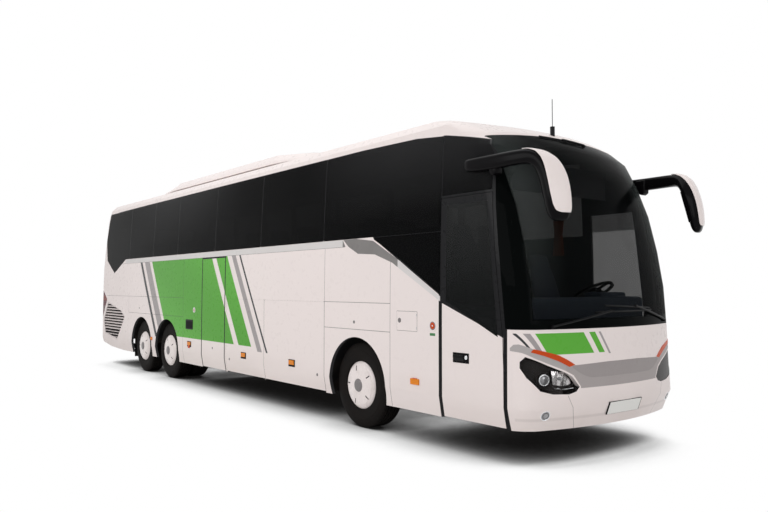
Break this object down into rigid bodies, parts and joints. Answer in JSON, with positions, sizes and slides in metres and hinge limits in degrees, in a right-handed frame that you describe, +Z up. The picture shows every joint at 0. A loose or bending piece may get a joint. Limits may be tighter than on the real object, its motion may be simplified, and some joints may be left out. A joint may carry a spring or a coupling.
{
  "type": "coach bus",
  "caption": "Long touring coach on three axles: raised saloon behind a dark glass band, deep curved windscreen, side doors, luggage flaps, antler mirrors and a roof cooling pod.",
  "frame": {"origin": "on the ground under the middle of the whole coach, mirrors included", "axes": "+X forward, +Y to the coach's left, +Z up"},
  "size_m": [13.35, 2.66, 3.79],
  "materials": {
    "white_paint": "warm white gloss paint",
    "silver_paint": "silver-grey metallic paint",
    "black_steel": "black chassis paint",
    "cast_iron": "bare casting",
    "tyre": "black rubber",
    "tinted_glass": "dark tinted safety glass",
    "lamp_glass": "clear moulded lens",
    "red_lens": "red moulded lens",
    "orange_lens": "orange moulded lens",
    "black_plastic": "black grained moulding",
    "floor_vinyl": "grey slip-resistant floor covering",
    "seat_fabric": "dark woven seat cloth"
  },
  "bodies": {
    "body": {"body_side_left": "white_paint", "body_side_right": "white_paint", "cab_floor": "floor_vinyl", "chassis_frame": "black_steel", "dashboard": "black_plastic", "engine": "cast_iron", "front_axle": "black_steel", "front_dome": "white_paint", "front_fascia": "white_paint", "headlamps": "lamp_glass", "marker_lamps": "orange_lens", "mid_stairs": "floor_vinyl", "mirrors": "black_plastic", "rear_axles": "black_steel", "rear_panel": "white_paint", "rear_window": "tinted_glass", "roof": "white_paint", "roof_fittings": "white_paint", "saloon_floor": "floor_vinyl", "seats": "seat_fabric", "side_glass": "tinted_glass", "side_grilles": "white_paint", "silver_trim": "silver_paint", "steering_wheel": "black_plastic", "tail_lamps": "red_lens", "wheel_housings": "black_steel", "windscreen": "tinted_glass", "windscreen_frame": "black_steel", "wipers": "black_plastic"},
    "front_door_arm": {"front_door_arm": "black_steel"},
    "front_door": {"front_door_leaf": "white_paint", "front_door_glass": "tinted_glass"},
    "mid_door_arm": {"mid_door_arm": "black_steel"},
    "mid_door": {"mid_door_leaf": "white_paint"},
    "luggage_flap_left_1": {"luggage_flap_left_1": "white_paint"},
    "luggage_flap_left_2": {"luggage_flap_left_2": "white_paint"},
    "luggage_flap_left_3": {"luggage_flap_left_3": "white_paint"},
    "luggage_flap_right_1": {"luggage_flap_right_1": "white_paint"},
    "luggage_flap_right_2": {"luggage_flap_right_2": "white_paint"},
    "engine_lid": {"engine_lid": "white_paint"},
    "knuckle_right": {"knuckle_right": "black_steel"},
    "knuckle_left": {"knuckle_left": "black_steel"},
    "track_rod": {"track_rod": "black_steel"},
    "front_wheel_right": {"front_wheel_right": "white_paint", "front_tyre_right": "tyre"},
    "front_wheel_left": {"front_wheel_left": "white_paint", "front_tyre_left": "tyre"},
    "drive_wheel_right": {"drive_wheel_right": "white_paint", "drive_tyre_right": "tyre"},
    "drive_wheel_left": {"drive_wheel_left": "white_paint", "drive_tyre_left": "tyre"},
    "tag_wheel_right": {"tag_wheel_right": "white_paint", "tag_tyre_right": "tyre"},
    "tag_wheel_left": {"tag_wheel_left": "white_paint", "tag_tyre_left": "tyre"}
  },
  "joints": [
    {"name": "steer_right", "type": "hinge", "parent": "body", "child": "knuckle_right", "pos_m": [3.575, -0.86, 0.512], "axis": [0, 0, 1], "range_deg": [-42, 42]},
    {"name": "steer_left", "type": "hinge", "parent": "body", "child": "knuckle_left", "pos_m": [3.575, 0.86, 0.512], "axis": [0, 0, 1], "range_deg": [-42, 42]},
    {"name": "track_rod_turn", "type": "hinge", "parent": "knuckle_right", "child": "track_rod", "pos_m": [3.385, -0.86, 0.3657], "axis": [0, 0, 1], "range_deg": [-42, 42]},
    {"name": "front_wheel_right_spin", "type": "hinge", "parent": "knuckle_right", "child": "front_wheel_right", "pos_m": [3.575, -1.057, 0.512], "axis": [0, 1, 0], "continuous": true},
    {"name": "front_wheel_left_spin", "type": "hinge", "parent": "knuckle_left", "child": "front_wheel_left", "pos_m": [3.575, 1.057, 0.512], "axis": [0, 1, 0], "continuous": true},
    {"name": "drive_wheel_right_spin", "type": "hinge", "parent": "body", "child": "drive_wheel_right", "pos_m": [-2.515, -1.057, 0.512], "axis": [0, 1, 0], "continuous": true},
    {"name": "drive_wheel_left_spin", "type": "hinge", "parent": "body", "child": "drive_wheel_left", "pos_m": [-2.515, 1.057, 0.512], "axis": [0, 1, 0], "continuous": true},
    {"name": "tag_wheel_right_spin", "type": "hinge", "parent": "body", "child": "tag_wheel_right", "pos_m": [-3.865, -1.057, 0.512], "axis": [0, 1, 0], "continuous": true},
    {"name": "tag_wheel_left_spin", "type": "hinge", "parent": "body", "child": "tag_wheel_left", "pos_m": [-3.865, 1.057, 0.512], "axis": [0, 1, 0], "continuous": true},
    {"name": "front_door_swing", "type": "hinge", "parent": "body", "child": "front_door_arm", "pos_m": [5.865, -1.185, 0.89], "axis": [0, 0, 1], "range_deg": [0, 110]},
    {"name": "front_door_turn", "type": "hinge", "parent": "front_door_arm", "child": "front_door", "pos_m": [5.265, -1.185, 0.89], "axis": [0, 0, 1], "range_deg": [-110, 0]},
    {"name": "mid_door_swing", "type": "hinge", "parent": "body", "child": "mid_door_arm", "pos_m": [-0.82, -1.185, 1.1], "axis": [0, 0, -1], "range_deg": [0, 110]},
    {"name": "mid_door_turn", "type": "hinge", "parent": "mid_door_arm", "child": "mid_door", "pos_m": [-0.22, -1.185, 1.1], "axis": [0, 0, -1], "range_deg": [-110, 0]},
    {"name": "luggage_flap_left_1_lift", "type": "hinge", "parent": "body", "child": "luggage_flap_left_1", "pos_m": [-1.028, 1.271, 1.5062], "axis": [1, 0, 0], "range_deg": [0, 95]},
    {"name": "luggage_flap_left_2_lift", "type": "hinge", "parent": "body", "child": "luggage_flap_left_2", "pos_m": [0.471, 1.271, 1.5062], "axis": [1, 0, 0], "range_deg": [0, 95]},
    {"name": "luggage_flap_left_3_lift", "type": "hinge", "parent": "body", "child": "luggage_flap_left_3", "pos_m": [2.074, 1.271, 1.5062], "axis": [1, 0, 0], "range_deg": [0, 95]},
    {"name": "luggage_flap_right_1_lift", "type": "hinge", "parent": "body", "child": "luggage_flap_right_1", "pos_m": [0.641, -1.271, 1.5062], "axis": [-1, 0, 0], "range_deg": [0, 95]},
    {"name": "luggage_flap_right_2_lift", "type": "hinge", "parent": "body", "child": "luggage_flap_right_2", "pos_m": [2.074, -1.271, 1.5062], "axis": [-1, 0, 0], "range_deg": [0, 95]},
    {"name": "engine_lid_lift", "type": "hinge", "parent": "body", "child": "engine_lid", "pos_m": [-6.661, 0, 1.7622], "axis": [0, 1, 0], "range_deg": [0, 80]}
  ],
  "couplings": [
    {"joint": "steer_left", "follows": "steer_right", "ratio": 1},
    {"joint": "track_rod_turn", "follows": "steer_right", "ratio": -1},
    {"joint": "front_door_turn", "follows": "front_door_swing", "ratio": -1},
    {"joint": "mid_door_turn", "follows": "mid_door_swing", "ratio": -1}
  ]
}
